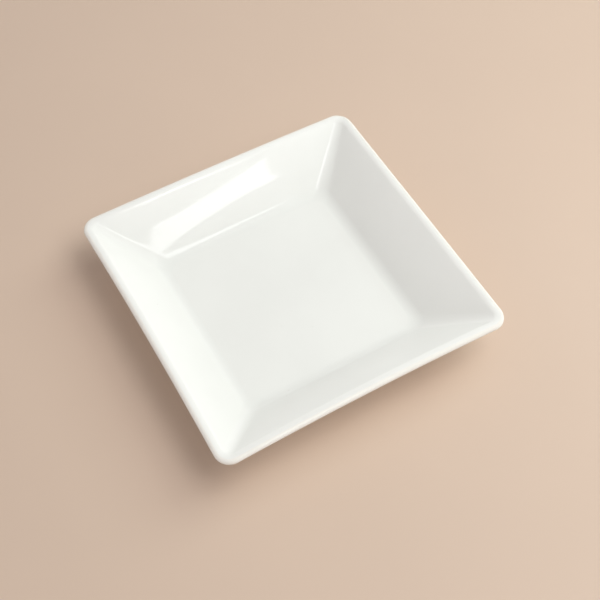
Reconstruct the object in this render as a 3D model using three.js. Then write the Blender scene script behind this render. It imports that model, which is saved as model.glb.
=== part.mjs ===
import * as THREE from "three";
import { mergeVertices } from "three/addons/utils/BufferGeometryUtils.js";

// A square deep plate in glazed white porcelain: a flat square well, four flat sloping walls that meet in
// softly rounded mitres, a rolled lip and a low square foot ring. Lengths are millimetres and +Z is up.
// The foot ring stands on z = 0 and the plate is centred on the Z axis, with its sides along X and Y.

// Rim
const rimSide = 155; // across the rim at its corners
const rimCornerRadius = 7.9; // the rim's outline, seen from above
const lipRadius = 1.85; // the lip's outer edge
const lipRoll = 1.8; // from the level top of the lip into the wall, along each
const rimCornerDip = 1.7; // the rim's corners lie this much lower than the middles of its sides
const rimSideHollow = 0.6; // the middles of the rim's sides draw in this much

// Well and walls
const wellSide = 97; // across the well, where the lines of its floor and walls meet
const wellDepth = 22.4; // from the top of the lip to the well's floor
const wellTurn = 3.8; // from the floor into the wall, along each
const wellCornerRadius = 6; // the floor's corners, seen from above
const mitreRadius = 4.2; // the wall's corners just under the lip, seen from above
const wallThickness = 4.3;

// Base and foot ring
const floorThickness = 5;
const baseTurn = 2.4; // from the outer wall into the level underside, along each
const baseCornerRadius = 12; // the underside's corners, seen from above
const footInset = 4.6; // from the edge of the underside in to the foot ring
const footHeight = 3;
const footWidth = 4.6;
const footDraft = 0.4; // each face of the foot ring leans this much over its height
const footCornerRadius = 8.5;
const footRoot = 1.1; // from the underside into the foot ring, along each
const footEdge = 0.65; // the rounded edges of the foot ring's face

// Glaze
const glazeThickness = 0.4;
const glazeLine = 1; // the glaze stops at this height on both faces of the foot ring

// How finely curves are divided
const cornerSteps = 5;
const sideSteps = 4;
const turnSteps = 5;
const wallSteps = 3;
const lipSteps = 6;
const edgeSteps = 2;

const point = (reach, height) => new THREE.Vector2(reach, height);

// Heights and places that follow from the sizes above
const wellFloor = footHeight + floorThickness;
const rimTop = wellFloor + wellDepth;
const lipCentre = point(rimSide / 2 - lipRadius, rimTop - lipRadius);
const lipShoulder = point(lipCentre.x - lipRoll, rimTop);
const wellEdge = point(wellSide / 2, wellFloor);
const wallSlope = lipShoulder.clone().sub(wellEdge).angle();
const wallOutset = wallThickness / Math.sin(wallSlope) - floorThickness / Math.tan(wallSlope);
const baseEdge = point(wellEdge.x + wallOutset, footHeight);
const footReach = baseEdge.x - footInset;

// The plate is built of stations. Each is one level course round the plate: how far its sides lie from the
// axis, its height, and the radius of its four corners seen from above.
const station = (reach, height, bend) => ({ reach, height, bend });

// Stations along a curve of the plate's section, whose corners change from one radius to another.
function stationsAlong(curve, steps, firstBend, lastBend) {
  return curve
    .getPoints(steps)
    .map((at, i) => station(at.x, at.y, THREE.MathUtils.lerp(firstBend, lastBend, i / steps)));
}

// The soft bend that a corner of a section becomes, leaving it by the same length on each side.
function softCorner(before, corner, after, length) {
  const towards = (other) => other.clone().sub(corner).setLength(length).add(corner);
  return new THREE.QuadraticBezierCurve(towards(before), corner, towards(after));
}

// The section of the well: from the axis over the floor, up the wall and onto the level top of the lip.
function wellSection() {
  const axis = point(0, wellFloor);
  const lipTop = point(lipCentre.x, rimTop);
  const floorTurn = softCorner(axis, wellEdge, lipShoulder, wellTurn);
  const lipTurn = softCorner(wellEdge, lipShoulder, lipTop, lipRoll);
  const wall = new THREE.LineCurve(floorTurn.v2, lipTurn.v0);
  return [
    station(axis.x, axis.y, 0),
    ...stationsAlong(floorTurn, turnSteps, wellCornerRadius, wellCornerRadius),
    ...stationsAlong(wall, wallSteps, wellCornerRadius, mitreRadius).slice(1),
    ...stationsAlong(lipTurn, turnSteps, mitreRadius, rimCornerRadius - lipRadius).slice(1),
  ];
}

// The section of the outside: round the lip, down the outer wall, under the base and down the foot ring.
// The wall leaves the lip's round where it lies in line with it.
function outsideSection() {
  const chord = lipCentre.clone().sub(baseEdge);
  const wallAngle = chord.angle() - Math.asin(lipRadius / chord.length());
  const leaveAngle = wallAngle - Math.PI / 2;
  const lip = new THREE.Path().absarc(lipCentre.x, lipCentre.y, lipRadius, Math.PI / 2, leaveAngle, true);
  const bendAt = (reach) => rimCornerRadius - rimSide / 2 + reach;
  const lipEnd = lip.getPoint(1);
  const baseRound = softCorner(lipEnd, baseEdge, point(0, footHeight), baseTurn);
  const wall = new THREE.LineCurve(lipEnd, baseRound.v0);
  return [
    ...lip.getPoints(lipSteps).map((at) => station(at.x, at.y, bendAt(at.x))),
    ...stationsAlong(wall, wallSteps, bendAt(lipEnd.x), baseCornerRadius).slice(1),
    ...stationsAlong(baseRound, turnSteps, baseCornerRadius, baseCornerRadius).slice(1),
    ...footFace(footReach, footDraft, footCornerRadius),
  ];
}

// One glazed face of the foot ring, from the root at the underside to the glaze line. It leans out by its
// draft over its height, and a negative draft is the inner face.
function footFace(reach, draft, bend) {
  const side = Math.sign(draft);
  const root = point(reach + draft, footHeight);
  const foot = point(reach, 0);
  const rootTurn = softCorner(point(root.x + side * footRoot, footHeight), root, foot, footRoot);
  const line = root.clone().lerp(foot, 1 - glazeLine / footHeight);
  return [
    ...stationsAlong(rootTurn, turnSteps, bend + side * footRoot, bend),
    station(line.x, line.y, bend),
  ];
}

// The section of the glazed recess inside the foot ring, from the glaze line to the axis.
function recessSection() {
  const face = footFace(footReach - footWidth, -footDraft, footCornerRadius - footWidth);
  return [...face.reverse(), station(0, footHeight, 0)];
}

// The surface of the clay under a glazed section: each station moves into the body by the glaze's
// thickness, square to the section.
function underGlaze(section) {
  return section.map(({ reach, height, bend }, i) => {
    const before = section[Math.max(i - 1, 0)];
    const after = section[Math.min(i + 1, section.length - 1)];
    const along = point(after.reach - before.reach, after.height - before.height).normalize();
    const inward = point(along.y, -along.x).multiplyScalar(glazeThickness);
    return station(reach + inward.x, height + inward.y, reach > 0 ? bend + inward.x : 0);
  });
}

// The bare foot of the clay between the two glaze lines, with its rounded edges and its flat face.
function bareFootSection(outerLine, innerLine) {
  const outerEdge = point(outerLine.reach, 0);
  const innerEdge = point(innerLine.reach, 0);
  const outerRound = softCorner(point(outerLine.reach, outerLine.height), outerEdge, innerEdge, footEdge);
  const innerRound = softCorner(outerEdge, innerEdge, point(innerLine.reach, innerLine.height), footEdge);
  const ringWidth = outerLine.reach - innerLine.reach;
  return [
    outerLine,
    ...stationsAlong(outerRound, edgeSteps, outerLine.bend, outerLine.bend - footEdge),
    ...stationsAlong(innerRound, edgeSteps, outerLine.bend - ringWidth + footEdge, innerLine.bend),
    innerLine,
  ];
}

// The points of one course. Above the well's floor the rim's warp grows with the height: its corners dip
// and the middles of its sides draw in.
function courseAt({ reach, height, bend }) {
  const centre = reach - bend;
  const warpShare = Math.max(0, (height - wellFloor) / wellDepth);
  const points = [];
  const place = (x, y, drawnIn, quarter) => {
    const towardCorner = reach > 0 ? Math.min(Math.abs(x), Math.abs(y)) / reach : 0;
    const dip = rimCornerDip * warpShare * towardCorner ** 2;
    const spot = new THREE.Vector3(x, y - rimSideHollow * warpShare * drawnIn, height - dip);
    points.push(spot.applyAxisAngle(new THREE.Vector3(0, 0, 1), (quarter * Math.PI) / 2));
  };
  for (let quarter = 0; quarter < 4; quarter += 1) {
    for (let i = 0; i <= cornerSteps; i += 1) {
      const angle = ((i / cornerSteps) * Math.PI) / 2;
      place(centre + bend * Math.cos(angle), centre + bend * Math.sin(angle), 0, quarter);
    }
    for (let i = 1; i < sideSteps; i += 1) {
      const along = 1 - (2 * i) / sideSteps;
      place(centre * along, reach, 1 - along ** 2, quarter);
    }
  }
  return points;
}

// The triangles of the skin through a run of stations. They face the side that lies to the left as the
// run goes from the axis outward, over the rim and back under the plate.
function skinThrough(stations) {
  const triangles = [];
  const add = (a, b, c) => {
    if (!a.equals(b) && !b.equals(c) && !c.equals(a)) triangles.push([a, b, c]);
  };
  const courses = stations.map(courseAt);
  courses.slice(1).forEach((outer, n) => {
    const inner = courses[n];
    outer.forEach((at, i) => {
      const next = (i + 1) % outer.length;
      add(inner[i], at, outer[next]);
      add(inner[i], outer[next], inner[next]);
    });
  });
  return triangles;
}

// The same skin seen from its other side, for the piece that lies against it.
const turnedOver = (triangles) => triangles.map(([a, b, c]) => [a, c, b]);

function solidFrom(name, material, ...skins) {
  const corners = skins.flat(2);
  const geometry = new THREE.BufferGeometry().setFromPoints(corners);
  const merged = mergeVertices(geometry);
  merged.computeVertexNormals();
  const mesh = new THREE.Mesh(merged, material);
  mesh.name = name;
  return mesh;
}

// Clear glossy glaze over white clay reads as a slightly warm white.
function glazeMaterial() {
  return new THREE.MeshStandardMaterial({ color: 0xf1f2ec, roughness: 0.08, metalness: 0 });
}

// Fired clay without glaze is matt and a little warmer.
function bareClayMaterial() {
  return new THREE.MeshStandardMaterial({ color: 0xebe6da, roughness: 0.75, metalness: 0 });
}

function squareDeepPlate() {
  const face = [...wellSection(), ...outsideSection().slice(1)];
  const recess = recessSection();
  const clayFace = underGlaze(face);
  const clayRecess = underGlaze(recess);
  const faceSeat = skinThrough(clayFace);
  const recessSeat = skinThrough(clayRecess);
  const bareFoot = skinThrough(bareFootSection(clayFace.at(-1), clayRecess[0]));
  const faceEnd = skinThrough([face.at(-1), clayFace.at(-1)]);
  const recessEnd = skinThrough([clayRecess[0], recess[0]]);

  const plate = new THREE.Group();
  plate.add(
    solidFrom("porcelain_body", bareClayMaterial(), faceSeat, bareFoot, recessSeat),
    solidFrom("glaze_coat", glazeMaterial(), skinThrough(face), faceEnd, turnedOver(faceSeat)),
    solidFrom("base_glaze", glazeMaterial(), recessEnd, skinThrough(recess), turnedOver(recessSeat)),
  );
  return plate;
}

export default squareDeepPlate();
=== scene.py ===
import math

import bmesh
import bpy
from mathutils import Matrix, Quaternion, Vector


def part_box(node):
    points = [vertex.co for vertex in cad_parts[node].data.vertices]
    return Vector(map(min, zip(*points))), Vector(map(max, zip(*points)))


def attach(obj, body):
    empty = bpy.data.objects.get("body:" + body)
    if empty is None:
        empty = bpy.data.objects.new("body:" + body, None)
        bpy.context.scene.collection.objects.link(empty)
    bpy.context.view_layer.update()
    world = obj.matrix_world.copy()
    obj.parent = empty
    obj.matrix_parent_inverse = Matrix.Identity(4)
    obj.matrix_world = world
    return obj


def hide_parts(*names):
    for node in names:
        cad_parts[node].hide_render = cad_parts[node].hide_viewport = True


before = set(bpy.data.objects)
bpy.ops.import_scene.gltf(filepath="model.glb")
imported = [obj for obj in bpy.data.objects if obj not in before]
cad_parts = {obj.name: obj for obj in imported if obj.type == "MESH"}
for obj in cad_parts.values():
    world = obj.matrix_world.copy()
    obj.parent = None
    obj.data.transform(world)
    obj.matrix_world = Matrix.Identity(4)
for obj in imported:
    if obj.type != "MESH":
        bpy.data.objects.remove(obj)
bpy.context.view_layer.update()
mm = 0.001  # in metres
print("frame loaded:", ", ".join(sorted(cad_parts)))


class Wire:
    # One output of a node tree. Sums written on wires become Math nodes.
    def __init__(self, tree, socket=None):
        self.tree = tree
        self.socket = socket

    def node(self, kind, settings=None, inlets=None):
        made = self.tree.nodes.new(kind)
        for name, value in (settings or {}).items():
            setattr(made, name, value)
        usable = [socket for socket in made.inputs if socket.enabled]
        for key, value in (inlets or {}).items():
            inlet = usable[key] if isinstance(key, int) else next(s for s in usable if s.name == key)
            if isinstance(value, Wire):
                self.tree.links.new(value.socket, inlet)
            else:
                inlet.default_value = value
        outlets = [socket for socket in made.outputs if socket.enabled]
        return Wire(self.tree, outlets[0] if outlets else None)

    def outlet(self, name):  # another output of the same node
        outlets = [socket for socket in self.socket.node.outputs if socket.enabled]
        return Wire(self.tree, next(socket for socket in outlets if socket.name == name))

    def maths(self, operation, *others):
        return self.node("ShaderNodeMath", {"operation": operation}, dict(enumerate((self, *others))))

    def vector(self, operation, *others):
        return self.node("ShaderNodeVectorMath", {"operation": operation}, dict(enumerate((self, *others))))

    def clamped(self):
        return self.node("ShaderNodeClamp", inlets={"Value": self})

    def fade(self, low, high):  # 0 up to low and 1 from high, soft in between
        settings = {"interpolation_type": "SMOOTHSTEP"}
        return self.node("ShaderNodeMapRange", settings, {"Value": self, "From Min": low, "From Max": high})

    def mix(self, first, second):  # two colours, with this wire as the second one's share
        return self.node("ShaderNodeMix", {"data_type": "RGBA"}, {"Factor": self, "A": first, "B": second})

    def __add__(self, other):
        return self.maths("ADD", other)

    def __sub__(self, other):
        return self.maths("SUBTRACT", other)

    def __rsub__(self, other):
        return self.node("ShaderNodeMath", {"operation": "SUBTRACT"}, {0: other, 1: self})

    def __mul__(self, other):
        return self.maths("MULTIPLY", other)

    def __truediv__(self, other):
        return self.maths("DIVIDE", other)

    def __rtruediv__(self, other):
        return self.node("ShaderNodeMath", {"operation": "DIVIDE"}, {0: other, 1: self})

    def __pow__(self, other):
        return self.maths("POWER", other)

    __radd__ = __add__
    __rmul__ = __mul__


# The camera stands where the photo was taken from, worked out from the rim's outline. Its place and aim are
# measured from the middle of the rim.
cameraSizes = {
    "place": Vector((-153.1, -271.7, 445.4)) * mm,
    "aim": Vector((-3.8, -17.6, -1.85)) * mm,
    "rollDegrees": 0.667,
    "lensMillimetres": 66.9,
    "sensorMillimetres": 36,
}


def makeCamera(sizes, rim):
    camera = bpy.data.objects.new("camera", bpy.data.cameras.new("camera"))
    camera.data.lens = sizes["lensMillimetres"]
    camera.data.sensor_width = sizes["sensorMillimetres"]
    camera.location = rim + sizes["place"]
    towards = (sizes["aim"] - sizes["place"]).to_track_quat("-Z", "Y")
    roll = Quaternion((0, 0, 1), math.radians(sizes["rollDegrees"]))
    camera.rotation_mode = "QUATERNION"
    camera.rotation_quaternion = towards @ roll
    bpy.context.scene.collection.objects.link(camera)
    bpy.context.scene.camera = camera


coatLow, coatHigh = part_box("glaze_coat")
makeCamera(cameraSizes, Vector((0, 0, coatHigh.z)))
print("camera placed")

# Soft light. Sizes, places and aims are in metres, and power is in watts. The glaze mirrors only the tall
# window, and the others stand in for light that reaches the plate from so wide that no edge of it shows.
softboxes = {
    "windowSoftbox": {
        "place": (0.286, -0.8, 1.5175), "aim": (0.286, 0, 1.5175), "width": 0.316, "height": 1.365,
        "power": 4.5, "colour": (0.95, 0.96, 0.985), "mirrored": True,
    },
    "sideSoftbox": {
        "place": (0.64, 0, 0.64), "aim": (0, 0, 0), "width": 0.5, "height": 0.5,
        "power": 2.54, "colour": (0.91, 1.0, 0.97), "mirrored": False,
    },
    "frontSoftbox": {
        "place": (0.27, -0.27, 0.82), "aim": (0, 0, 0), "width": 0.5, "height": 0.5,
        "power": 2.83, "colour": (0.995, 1.0, 0.98), "mirrored": False,
    },
    "topSoftbox": {
        "place": (0.16, 0, 0.89), "aim": (0, 0, 0), "width": 0.5, "height": 0.5,
        "power": 0.63, "colour": (1.0, 1.0, 1.0), "mirrored": False,
    },
}
# The room: bright all round near the floor's height, dimmer overhead and underneath. Each fade gives the
# two heights that it lies between, where 1 is straight up and -1 is straight down.
domeSizes = {
    "around": (1.28, 1.22, 1.23),
    "overhead": (0.383, 0.354, 0.352),
    "overheadFade": (0.2, 0.35),
    "underneath": (0.72, 0.7, 0.69),
    "underneathFade": (-0.5, -0.3),
}


def makeSoftbox(name, box):
    light = bpy.data.lights.new(name, "AREA")
    light.shape = "RECTANGLE"
    light.size = box["width"]
    light.size_y = box["height"]
    light.energy = box["power"]
    light.color = box["colour"]
    lamp = bpy.data.objects.new(name, light)
    lamp.location = box["place"]
    lamp.rotation_mode = "QUATERNION"
    lamp.rotation_quaternion = (Vector(box["aim"]) - lamp.location).to_track_quat("-Z", "Y")
    lamp.visible_camera = False
    lamp.visible_glossy = box["mirrored"]
    bpy.context.scene.collection.objects.link(lamp)


def makeDome(dome):
    world = bpy.data.worlds.new("dome")
    world.use_nodes = True
    world.node_tree.nodes.clear()
    start = Wire(world.node_tree)
    direction = start.node("ShaderNodeTexCoord").outlet("Generated")
    height = start.node("ShaderNodeSeparateXYZ", inlets={"Vector": direction}).outlet("Z")
    colour = height.fade(*dome["underneathFade"]).mix((*dome["underneath"], 1), (*dome["around"], 1))
    colour = height.fade(*dome["overheadFade"]).mix(colour, (*dome["overhead"], 1))
    sky = start.node("ShaderNodeBackground", inlets={"Color": colour})
    start.node("ShaderNodeOutputWorld", inlets={"Surface": sky})
    bpy.context.scene.world = world


for name, box in softboxes.items():
    makeSoftbox(name, box)
makeDome(domeSizes)
bpy.context.scene.view_settings.view_transform = "Standard"
print("lights placed:", ", ".join(softboxes))


def newMaterial(name):
    material = bpy.data.materials.new(name)
    material.use_nodes = True
    material.node_tree.nodes.clear()
    start = Wire(material.node_tree)
    return material, start, start.node("ShaderNodeTexCoord").outlet("Object")


def opaque(colour, share=1):  # a colour with its alpha, lighter or darker by a share
    return (*[min(1, part * share) for part in colour], 1)


def shades(colour, shares):  # the colour at its darkest and at its lightest
    return [opaque(colour, share) for share in shares]


noiseMiddle = 0.5  # a noise runs from 0 to 1, and lies about this


def noiseOn(place, size, detail=2.0):  # soft noise whose lumps are about this long
    return place.node("ShaderNodeTexNoise", inlets={"Vector": place, "Scale": 1 / size, "Detail": detail})


# The floor is clear from below and inside the plate's foot, so that the underside of the plate can be seen
# in a view from below. Far out it fades into the room, so that no edge of it shows.
floorLook = {
    "side": 8.0,
    "patches": 40,
    "clearInset": 2 * mm,  # from the edge of the recess in the foot
    "fade": (0.35, 1.4),  # metres from the middle
    "colour": (0.66, 0.515, 0.405),
    "cloud": 110 * mm,
    "cloudDetail": 4.0,
    "cloudShares": (0.97, 1.03),
    "grain": 1 * mm,
    "grainHeight": 0.1 * mm,
    "grainStrength": 0.2,
    "roughness": 0.45,
    "specular": 0.8,
}


def paleFloor(look):
    material, start, place = newMaterial("paleFloor")
    cloud = noiseOn(place, look["cloud"], look["cloudDetail"])
    bump = start.node("ShaderNodeBump", inlets={
        "Strength": look["grainStrength"], "Distance": look["grainHeight"],
        "Height": noiseOn(place, look["grain"]),
    })
    surface = start.node("ShaderNodeBsdfPrincipled", inlets={
        "Base Color": cloud.mix(*shades(look["colour"], look["cloudShares"])),
        "Roughness": look["roughness"], "Specular IOR Level": look["specular"], "Normal": bump,
    })
    below = start.node("ShaderNodeNewGeometry").outlet("Backfacing")
    spot = start.node("ShaderNodeSeparateXYZ", inlets={"Vector": place})
    out = spot.outlet("X").maths("ABSOLUTE").maths("MAXIMUM", spot.outlet("Y").maths("ABSOLUTE"))
    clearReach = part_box("base_glaze")[1].x - look["clearInset"]
    clear = below.maths("MAXIMUM", out.maths("LESS_THAN", clearReach))
    clear = clear.maths("MAXIMUM", place.vector("LENGTH").fade(*look["fade"]))
    finish = start.node("ShaderNodeMixShader", inlets={
        0: clear, 1: surface, 2: start.node("ShaderNodeBsdfTransparent"),
    })
    start.node("ShaderNodeOutputMaterial", inlets={"Surface": finish})
    return material


def layFloor(look):
    shape = bmesh.new()
    patches = look["patches"]
    bmesh.ops.create_grid(shape, x_segments=patches, y_segments=patches, size=look["side"] / 2)
    mesh = bpy.data.meshes.new("floor")
    shape.to_mesh(mesh)
    shape.free()
    mesh.materials.append(paleFloor(look))
    floor = bpy.data.objects.new("floor", mesh)
    bpy.context.scene.collection.objects.link(floor)


layFloor(floorLook)
print("floor laid")

# The plate's sizes. The frame gives its overall sizes, and the others repeat those of its solids, apart from
# the glaze's bead, which is too small for them.
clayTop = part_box("porcelain_body")[1].z
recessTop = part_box("base_glaze")[1].z
glazeThickness = coatHigh.z - clayTop
plate = {
    "rimSide": coatHigh.x - coatLow.x,
    "rimTop": coatHigh.z,
    "rimCornerRadius": 7.9 * mm,
    "lipRadius": 1.85 * mm,
    "lipRoll": 1.8 * mm,
    "wellSide": 97 * mm,
    "wellFloor": 8 * mm,
    "wellTurn": 3.8 * mm,
    "wellCornerRadius": 6 * mm,
    "mitreRadius": 4.2 * mm,
    "wallThickness": 4.3 * mm,
    "baseTurn": 2.4 * mm,
    "baseCornerRadius": 12 * mm,
    "underside": recessTop - glazeThickness,
    "footInset": 4.6 * mm,
    "footWidth": 4.6 * mm,
    "footDraft": 0.4 * mm,
    "footCornerRadius": 8.5 * mm,
    "footRoot": 1.1 * mm,
    "footEdge": 0.65 * mm,
    "glazeThickness": glazeThickness,
    "glazeLine": coatLow.z,
    "glazeBead": 0.32 * mm,
}
# How many steps a section takes along each of its stretches, where it shows and where glaze hides the clay.
fineSteps = {"floor": 12, "turn": 16, "wall": 30, "lip": 24, "edge": 8}
seatSteps = {"floor": 3, "turn": 6, "wall": 8, "lip": 8}

wellEdge = Vector((plate["wellSide"] / 2, plate["wellFloor"]))
lipCentre = Vector((plate["rimSide"] / 2, plate["rimTop"])) - Vector((1, 1)) * plate["lipRadius"]
lipShoulder = Vector((lipCentre.x - plate["lipRoll"], plate["rimTop"]))
wallSlope = math.atan2(lipShoulder.y - wellEdge.y, lipShoulder.x - wellEdge.x)
floorThickness = plate["wellFloor"] - plate["underside"]
wallOutset = plate["wallThickness"] / math.sin(wallSlope) - floorThickness / math.tan(wallSlope)
baseEdge = Vector((wellEdge.x + wallOutset, plate["underside"]))
footReach = baseEdge.x - plate["footInset"]


# A section is a list of stations, and a station is a point of the section with the radius of its corners
# seen from above.
def bezier(first, middle, last, share):
    return first.lerp(middle, share).lerp(middle.lerp(last, share), share)


def soften(first, middle, last, steps):  # the soft bend that a corner becomes
    return [bezier(first, middle, last, i / steps) for i in range(steps + 1)]


def softCorner(before, corner, after, length, steps):  # the same, leaving the corner by one length each way
    first, last = [corner + (other - corner).normalized() * length for other in (before, after)]
    return soften(first, corner, last, steps)


def straight(first, last, steps):
    return [first.lerp(last, i / steps) for i in range(steps + 1)]


def withBends(points, firstBend, lastBend):
    last = len(points) - 1
    return [(at, firstBend + (lastBend - firstBend) * i / last) for i, at in enumerate(points)]


def wellSection(steps):  # from the axis over the floor, up the wall and onto the level top of the lip
    axis = Vector((0, wellEdge.y))
    lipTop = Vector((lipCentre.x, lipShoulder.y))
    floorTurn = softCorner(axis, wellEdge, lipShoulder, plate["wellTurn"], steps["turn"])
    lipTurn = softCorner(wellEdge, lipShoulder, lipTop, plate["lipRoll"], steps["turn"])
    wellBend = plate["wellCornerRadius"]
    mitreBend = plate["mitreRadius"]
    return [
        *withBends(straight(axis, floorTurn[0], steps["floor"]), 0, wellBend),
        *withBends(floorTurn, wellBend, wellBend)[1:],
        *withBends(straight(floorTurn[-1], lipTurn[0], steps["wall"]), wellBend, mitreBend)[1:],
        *withBends(lipTurn, mitreBend, plate["rimCornerRadius"] - plate["lipRadius"])[1:],
    ]


def outsideSection(steps):
    # Round the lip, down the outer wall, under the base and down the foot ring. The wall leaves the lip's
    # round where it lies in line with it.
    chord = lipCentre - baseEdge
    lastAngle = math.atan2(chord.y, chord.x) - math.asin(plate["lipRadius"] / chord.length) - math.pi / 2
    lip = []
    for i in range(1, steps["lip"] + 1):
        angle = math.pi / 2 + (lastAngle - math.pi / 2) * i / steps["lip"]
        lip.append(lipCentre + Vector((math.cos(angle), math.sin(angle))) * plate["lipRadius"])
    level = Vector((0, baseEdge.y))
    baseRound = softCorner(lip[-1], baseEdge, level, plate["baseTurn"], steps["turn"])
    middleBend = plate["rimCornerRadius"] - plate["rimSide"] / 2
    baseBend = plate["baseCornerRadius"]
    wall = straight(lip[-1], baseRound[0], steps["wall"])
    return [
        *[(at, middleBend + at.x) for at in lip],
        *withBends(wall, middleBend + lip[-1].x, baseBend)[1:],
        *withBends(baseRound, baseBend, baseBend)[1:],
        *footFace(footReach, plate["footDraft"], plate["footCornerRadius"], steps),
    ]


def footFace(reach, draft, bend, steps):  # from the foot ring's root to the glaze line
    side = math.copysign(1, draft)
    root = Vector((reach + draft, plate["underside"]))
    foot = Vector((reach, 0))
    out = root + Vector((side * plate["footRoot"], 0))
    down = root + (foot - root).normalized() * plate["footRoot"]
    line = root.lerp(foot, 1 - plate["glazeLine"] / plate["underside"])
    rootTurn = withBends(soften(out, root, down, steps["turn"]), bend + side * plate["footRoot"], bend)
    return [*rootTurn, (line, bend)]


def recessSection(steps):  # the recess inside the foot ring, from the glaze line to the axis
    bend = plate["footCornerRadius"] - plate["footWidth"]
    face = footFace(footReach - plate["footWidth"], -plate["footDraft"], bend, steps)[::-1]
    edge, edgeBend = face[-1]
    ceiling = straight(edge, Vector((0, edge.y)), steps["floor"])
    return [*face, *withBends(ceiling, edgeBend, 0)[1:]]


def underGlaze(section):  # the clay's surface, one glaze thickness into the body
    seat = []
    for i, (at, bend) in enumerate(section):
        before = section[max(i - 1, 0)][0]
        after = section[min(i + 1, len(section) - 1)][0]
        along = (after - before).normalized()
        inward = Vector((along.y, -along.x)) * plate["glazeThickness"]
        seat.append((at + inward, bend + inward.x if at.x else 0))
    return seat


def beaded(face, clay):  # the glaze's face rounds in to the clay in a small bead where it stops
    (above, _), (line, bend) = face[-2:]
    start = line + (above - line).normalized() * plate["glazeBead"]
    end = line + (clay - line).normalized() * plate["glazeBead"]
    return [*face[:-1], *withBends(soften(start, line, end, fineSteps["edge"]), bend, bend)]


def bareFoot(outerLine, innerLine):  # the ring's clay between the two glaze lines
    (outer, outerBend), (inner, innerBend) = outerLine, innerLine
    across = Vector((plate["footEdge"], 0))
    up = Vector((0, plate["footEdge"]))
    outerEdge = Vector((outer.x, 0))
    innerEdge = Vector((inner.x, 0))
    outerRound = soften(outerEdge + up, outerEdge, outerEdge - across, fineSteps["edge"])
    innerRound = soften(innerEdge + across, innerEdge, innerEdge + up, fineSteps["edge"])
    faceBend = innerBend + plate["footEdge"]
    return [
        *withBends(outerRound, outerBend, outerBend - plate["footEdge"]),
        *withBends(innerRound, faceBend, innerBend),
    ]


def sectionCurl(section):  # how sharply the section turns, in radians per metre: + in hollows, - over edges
    curls = [0.0]
    for (before, _), (at, _), (after, _) in zip(section, section[1:], section[2:]):
        first = at - before
        second = after - at
        curls.append(-first.angle_signed(second) * 2 / (first.length + second.length))
    return [*curls, 0.0]


def sectionMesh(name, section):  # the section as points, with what the sweep and the finish read
    mesh = bpy.data.meshes.new(name)
    mesh.from_pydata([(at.x, 0, at.y) for at, _ in section], [], [])
    mesh.attributes.new("bend", "FLOAT", "POINT").data.foreach_set("value", [bend for _, bend in section])
    mesh.attributes.new("curl", "FLOAT", "POINT").data.foreach_set("value", sectionCurl(section))
    return mesh


sweepSizes = {
    "Corner points": 20,
    "Side points": 48,
    "Corner dip": 1.7 * mm,
    "Side hollow": 0.6 * mm,
    "Warp start": plate["wellFloor"],
    "Warp rise": plate["rimTop"] - plate["wellFloor"],
    "Bulge height": 0.18 * mm,
    "Bulge size": 20.2 * mm,
    "Bulge reach": 62.2 * mm,
    "Bulge lean": 0.097,
    "Bulge start": -0.5,  # in bulge sizes from its middle, as the end is
    "Bulge end": 0.75,
    "Wave height": 0.04 * mm,
    "Wave size": 34 * mm,
    "Wave detail": 1.5,
    "Wave roughness": 0.35,
    "Wave seed": 3.0,
}
tiny = 1e-6  # metres, too small to show


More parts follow.
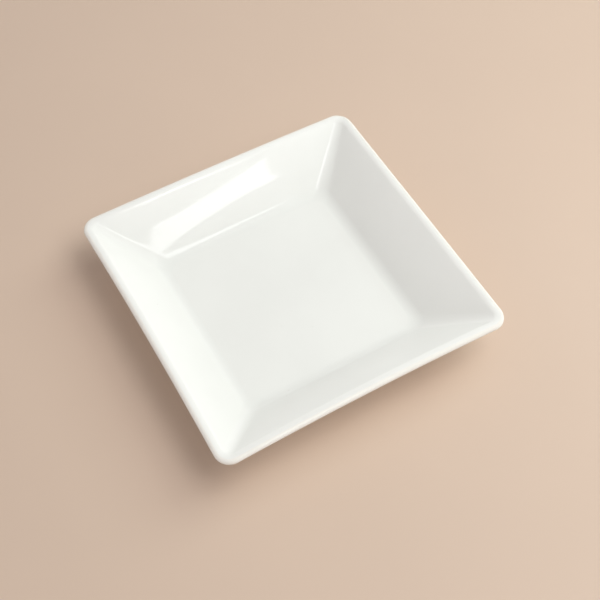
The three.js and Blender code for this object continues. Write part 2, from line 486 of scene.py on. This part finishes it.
def squareSweep(sizes):
    # Sweeps a section round a square with rounded corners. Each station becomes one level course. The
    # firing warp then dips the rim's corners and draws in the middles of its sides. The far wall bulges a
    # little, in a long low wave that leans across it, and slight waves run over everything.
    tree = bpy.data.node_groups.new("squareSweep", "GeometryNodeTree")
    tree.interface.new_socket("Geometry", in_out="OUTPUT", socket_type="NodeSocketGeometry")
    tree.interface.new_socket("Section", in_out="INPUT", socket_type="NodeSocketGeometry")
    kinds = {int: "NodeSocketInt", float: "NodeSocketFloat"}
    identifiers = {}
    for name, value in sizes.items():
        socket = tree.interface.new_socket(name, in_out="INPUT", socket_type=kinds[type(value)])
        identifiers[name] = socket.identifier
    finish = tree.interface.new_socket("Finish", in_out="INPUT", socket_type="NodeSocketMaterial")
    identifiers["Finish"] = finish.identifier

    # The points of a flat grid, whose own size doesn't matter, are set column by column. Each column is one
    # copy of the section, and each quarter of them is one corner and the side after it. The halves keep
    # rounding from changing a column or a quarter.
    section = Wire(tree).node("NodeGroupInput")
    cornerPoints = section.outlet("Corner points")
    sidePoints = section.outlet("Side points")
    quarterPoints = cornerPoints + sidePoints
    counted = section.node("GeometryNodeAttributeDomainSize", inlets={"Geometry": section})
    stations = counted.outlet("Point Count")
    grid = section.node("GeometryNodeMeshGrid", inlets={
        "Size X": 1.0, "Size Y": 1.0, "Vertices X": quarterPoints * 4 + 1, "Vertices Y": stations,
    })
    index = section.node("GeometryNodeInputIndex")
    column = ((index + 0.5) / stations).maths("FLOOR")
    row = index - column * stations
    quarter = ((column + 0.5) / quarterPoints).maths("FLOOR")
    step = column - quarter * quarterPoints

    def atStation(kind, value):
        return section.node("GeometryNodeSampleIndex", {"data_type": kind, "domain": "POINT"}, {
            "Geometry": section, "Value": value, "Index": row,
        })

    def named(name):
        return section.node("GeometryNodeInputNamedAttribute", {"data_type": "FLOAT"}, {"Name": name})

    place = atStation("FLOAT_VECTOR", section.node("GeometryNodeInputPosition"))
    separate = section.node("ShaderNodeSeparateXYZ", inlets={"Vector": place})
    reach = separate.outlet("X")
    height = separate.outlet("Z")
    bend = atStation("FLOAT", named("bend"))

    angle = (step / cornerPoints).clamped() * (math.pi / 2)
    along = 1 - 2 * ((step - cornerPoints) / sidePoints).clamped()
    x = (reach - bend) * along + bend * angle.maths("COSINE")
    y = reach - bend + bend * angle.maths("SINE")

    warp = ((height - section.outlet("Warp start")) / section.outlet("Warp rise")).maths("MAXIMUM", 0)
    towardCorner = x.maths("ABSOLUTE").maths("MINIMUM", y) / reach.maths("MAXIMUM", tiny)
    dip = section.outlet("Corner dip") * warp * towardCorner ** 2
    drawnIn = section.outlet("Side hollow") * warp * (1 - along * along)
    course = section.node("ShaderNodeCombineXYZ", inlets={"X": x, "Y": y - drawnIn, "Z": height - dip})
    turned = section.node("ShaderNodeVectorRotate", {"rotation_type": "Z_AXIS"}, {
        "Vector": course, "Angle": quarter * (math.pi / 2),
    })
    where = section.node("ShaderNodeSeparateXYZ", inlets={"Vector": turned})
    middle = section.outlet("Bulge reach") + section.outlet("Bulge lean") * where.outlet("X")
    phase = (where.outlet("Y") - middle) / section.outlet("Bulge size")
    phase = phase.maths("MAXIMUM", section.outlet("Bulge start"))
    phase = phase.maths("MINIMUM", section.outlet("Bulge end"))
    bulge = section.outlet("Bulge height") * (phase * (2 * math.pi)).maths("SINE")
    noise = section.node("ShaderNodeTexNoise", {"noise_dimensions": "4D"}, {
        "Vector": turned.vector("MULTIPLY", (1, 1, 0)), "W": section.outlet("Wave seed"),
        "Scale": 1 / section.outlet("Wave size"), "Detail": section.outlet("Wave detail"),
        "Roughness": section.outlet("Wave roughness"),
    })
    settled = (height / section.outlet("Warp start")).clamped() ** 2
    lift = section.outlet("Wave height") * settled * (noise - noiseMiddle) * 2 - bulge
    spot = turned.vector("ADD", section.node("ShaderNodeCombineXYZ", inlets={"Z": lift}))

    shaped = section.node("GeometryNodeSetPosition", inlets={"Geometry": grid, "Position": spot})
    marked = section.node("GeometryNodeStoreNamedAttribute", {"data_type": "FLOAT", "domain": "POINT"}, {
        "Geometry": shaped, "Name": "curl", "Value": atStation("FLOAT", named("curl")),
    })
    closed = section.node("GeometryNodeMergeByDistance", inlets={"Geometry": marked, "Distance": tiny})
    outward = section.node("GeometryNodeFlipFaces", inlets={"Mesh": closed})
    smooth = section.node("GeometryNodeSetShadeSmooth", inlets={"Geometry": outward, "Shade Smooth": True})
    plain = section.node("GeometryNodeRealizeInstances", inlets={"Geometry": smooth})
    finished = section.node("GeometryNodeSetMaterial", inlets={
        "Geometry": plain, "Material": section.outlet("Finish"),
    })
    section.node("NodeGroupOutput", inlets={"Geometry": finished})
    return tree, identifiers


sweepTree, sweepInputs = squareSweep(sweepSizes)
print("sweep tree built with", len(sweepTree.nodes), "nodes")


def sweptPiece(name, section, material, node):
    piece = bpy.data.objects.new(name, sectionMesh(name, section))
    bpy.context.scene.collection.objects.link(piece)
    modifier = piece.modifiers.new("sweep", "NODES")
    modifier.node_group = sweepTree
    for label, value in {**sweepSizes, "Finish": material}.items():
        modifier[sweepInputs[label]] = value
    graph = bpy.context.evaluated_depsgraph_get()
    swept = bpy.data.meshes.new_from_object(piece.evaluated_get(graph), depsgraph=graph)
    swept.name = name
    piece.modifiers.clear()
    piece.data = swept
    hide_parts(node)
    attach(piece, "root")
    print(name, "swept:", len(section), "stations,", len(swept.polygons), "faces")


# Glossy white glaze: a little deeper in tone where it gathers in hollows, and thin and warm over the lip.
# Its face has a faint ripple and a fine peel. A few specks of iron lie in it, and dust dulls it in patches.
# Curls are in radians per metre, as sectionCurl gives them.
glazeLook = {
    "colour": (0.845, 0.857, 0.822),
    "cloud": 45 * mm,
    "cloudDetail": 3.0,
    "cloudFade": (0.3, 0.7),
    "cloudShares": (0.985, 1.01),
    "pooled": (0.815, 0.835, 0.80),
    "pooledCurls": (20, 160),
    "pooledShare": 0.6,
    "thin": (0.85, 0.82, 0.75),
    "thinCurls": (250, 520),
    "thinShare": 0.6,
    "speck": (0.42, 0.36, 0.29),
    "speckReach": 0.2 * mm,
    "speckSpacing": 9 * mm,
    "speckShare": 0.7,
    "roughness": 0.05,
    "dust": 18 * mm,
    "dustDetail": 4.0,
    "dustFade": (0.45, 0.75),
    "dustRoughness": 0.03,
    "ripple": 8 * mm,
    "rippleDetail": 1.0,
    "rippleHeight": 0.012 * mm,
    "peel": 1.6 * mm,
    "peelHeight": 0.003 * mm,
}


def whiteGlaze(look):
    material, start, place = newMaterial("whiteGlaze")
    curl = start.node("ShaderNodeAttribute", {"attribute_name": "curl"}).outlet("Fac")
    cloud = noiseOn(place, look["cloud"], look["cloudDetail"]).fade(*look["cloudFade"])
    colour = cloud.mix(*shades(look["colour"], look["cloudShares"]))
    pooled = curl.fade(*look["pooledCurls"]) * look["pooledShare"]
    colour = pooled.mix(colour, opaque(look["pooled"]))
    thin = (0 - curl).fade(*look["thinCurls"]) * look["thinShare"]
    colour = thin.mix(colour, opaque(look["thin"]))
    spacing = look["speckSpacing"]
    nearest = start.node("ShaderNodeTexVoronoi", inlets={"Vector": place, "Scale": 1 / spacing}) * spacing
    speck = 1 - nearest.fade(look["speckReach"] / 2, look["speckReach"])
    colour = (speck * look["speckShare"]).mix(colour, opaque(look["speck"]))
    dust = noiseOn(place, look["dust"], look["dustDetail"]).fade(*look["dustFade"])
    relief = noiseOn(place, look["ripple"], look["rippleDetail"]) * look["rippleHeight"]
    relief = relief + noiseOn(place, look["peel"]) * look["peelHeight"]
    # The relief is in metres already, so the bump takes it as it is.
    bump = start.node("ShaderNodeBump", inlets={"Strength": 1.0, "Distance": 1.0, "Height": relief})
    surface = start.node("ShaderNodeBsdfPrincipled", inlets={
        "Base Color": colour, "Roughness": look["roughness"] + look["dustRoughness"] * dust,
        "Normal": bump,
    })
    start.node("ShaderNodeOutputMaterial", inlets={"Surface": surface})
    return material


# Bare fired clay on the foot: matt and slightly grainy, scuffed grey where it has stood on shelves and
# toasted to a warmer tone in a thin line along the glaze.
clayLook = {
    "colour": (0.80, 0.77, 0.70),
    "roughness": 0.78,
    "grain": 0.35 * mm,
    "grainDetail": 3.0,
    "grainFade": (0.3, 0.7),
    "grainShares": (0.94, 1.04),
    "grainHeight": 0.04 * mm,
    "grainStrength": 0.6,
    "patch": 7 * mm,
    "patchDetail": 4.0,
    "toast": (0.66, 0.52, 0.37),
    "toastDepth": 0.35 * mm,
    "toastPatches": (0.3, 0.6),
    "toastShare": 0.7,
    "scuff": (0.52, 0.50, 0.46),
    "scuffHeights": (0.05 * mm, 0.4 * mm),
    "scuffPatches": (0.5, 0.68),
    "scuffShare": 0.45,
    "scuffPolish": 0.15,
}


def bareClay(look):
    material, start, place = newMaterial("bareClay")
    grain = noiseOn(place, look["grain"], look["grainDetail"])
    patch = noiseOn(place, look["patch"], look["patchDetail"])
    colour = grain.fade(*look["grainFade"]).mix(*shades(look["colour"], look["grainShares"]))
    height = start.node("ShaderNodeSeparateXYZ", inlets={"Vector": place}).outlet("Z")
    line = plate["glazeLine"]
    toast = height.fade(line - look["toastDepth"], line) * patch.fade(*look["toastPatches"])
    colour = (toast * look["toastShare"]).mix(colour, opaque(look["toast"]))
    worn = (1 - height.fade(*look["scuffHeights"])) * patch.fade(*look["scuffPatches"])
    colour = (worn * look["scuffShare"]).mix(colour, opaque(look["scuff"]))
    bump = start.node("ShaderNodeBump", inlets={
        "Strength": look["grainStrength"], "Distance": look["grainHeight"], "Height": grain,
    })
    surface = start.node("ShaderNodeBsdfPrincipled", inlets={
        "Base Color": colour, "Roughness": look["roughness"] - look["scuffPolish"] * worn,
        "Normal": bump,
    })
    start.node("ShaderNodeOutputMaterial", inlets={"Surface": surface})
    return material


glaze = whiteGlaze(glazeLook)
clay = bareClay(clayLook)
print("finishes mixed:", glaze.name, clay.name)

face = [*wellSection(fineSteps), *outsideSection(fineSteps)]
faceSeat = underGlaze([*wellSection(seatSteps), *outsideSection(seatSteps)])
recess = recessSection(fineSteps)
recessSeat = underGlaze(recessSection(seatSteps))

coatSection = [*beaded(face, faceSeat[-1][0]), *faceSeat[::-1]]
bodySection = [*faceSeat, *bareFoot(faceSeat[-1], recessSeat[0]), *recessSeat]
baseSection = [*recessSeat[::-1], *beaded(recess[::-1], recessSeat[0][0])[::-1]]
sweptPiece("glazeCoat", coatSection, glaze, "glaze_coat")
sweptPiece("porcelainBody", bodySection, clay, "porcelain_body")
sweptPiece("baseGlaze", baseSection, glaze, "base_glaze")
